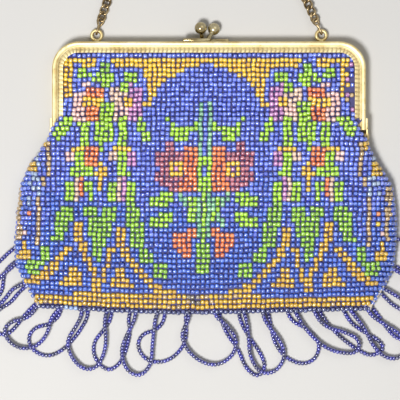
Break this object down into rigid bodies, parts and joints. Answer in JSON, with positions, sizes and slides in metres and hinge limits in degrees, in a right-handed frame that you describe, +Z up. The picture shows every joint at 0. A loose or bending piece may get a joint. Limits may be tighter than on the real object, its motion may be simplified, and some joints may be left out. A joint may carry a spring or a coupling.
{
  "type": "beaded evening purse",
  "caption": "Flat beaded evening purse with a hinged metal frame, kiss-lock clasp, curb chain handle and a fringe of bead loops",
  "frame": {"origin": "middle of the top bar, on the back face of the rear frame half", "axes": "The purse lies on its back. +X runs across it to the right, +Y from the pouch towards the clasp, +Z up through its thickness from the back to the front."},
  "size_m": [0.1921, 0.222, 0.012],
  "materials": {
    "frame_brass": "pale worn brass",
    "clasp_brass": "pale polished brass",
    "chain_brass": "pale worn brass",
    "beadwork": "woven glass seed beads",
    "fringe_glass": "strung glass seed beads",
    "lining": "plain woven lining"
  },
  "bodies": {
    "rear_half": {"rear_frame": "frame_brass", "rear_clasp_arm": "frame_brass", "rear_clasp_ball": "clasp_brass", "left_lug": "frame_brass", "right_lug": "frame_brass", "left_rivet": "frame_brass", "right_rivet": "frame_brass", "pouch": "beadwork", "lining_pouch": "lining", "fringe_01": "fringe_glass", "fringe_02": "fringe_glass", "fringe_03": "fringe_glass", "fringe_04": "fringe_glass", "fringe_05": "fringe_glass", "fringe_06": "fringe_glass", "fringe_07": "fringe_glass", "fringe_08": "fringe_glass", "fringe_09": "fringe_glass", "fringe_10": "fringe_glass", "fringe_11": "fringe_glass", "fringe_12": "fringe_glass", "fringe_13": "fringe_glass", "fringe_14": "fringe_glass", "fringe_15": "fringe_glass", "fringe_16": "fringe_glass", "fringe_17": "fringe_glass", "fringe_18": "fringe_glass", "fringe_19": "fringe_glass"},
    "front_half": {"front_frame": "frame_brass", "front_clasp_arm": "frame_brass", "front_clasp_ball": "clasp_brass", "front_panel": "beadwork", "lining_front": "lining"},
    "handle": {"left_end_link": "chain_brass", "right_end_link": "chain_brass", "handle_chain": "chain_brass"}
  },
  "joints": [
    {"name": "frame_open", "type": "hinge", "parent": "rear_half", "child": "front_half", "pos_m": [0, -0.038, 0.00405], "axis": [1, 0, 0], "range_deg": [0, 90]},
    {"name": "handle_swing", "type": "hinge", "parent": "rear_half", "child": "handle", "pos_m": [0, 0.0072, 0.0022], "axis": [1, 0, 0], "range_deg": [0, 90]}
  ]
}
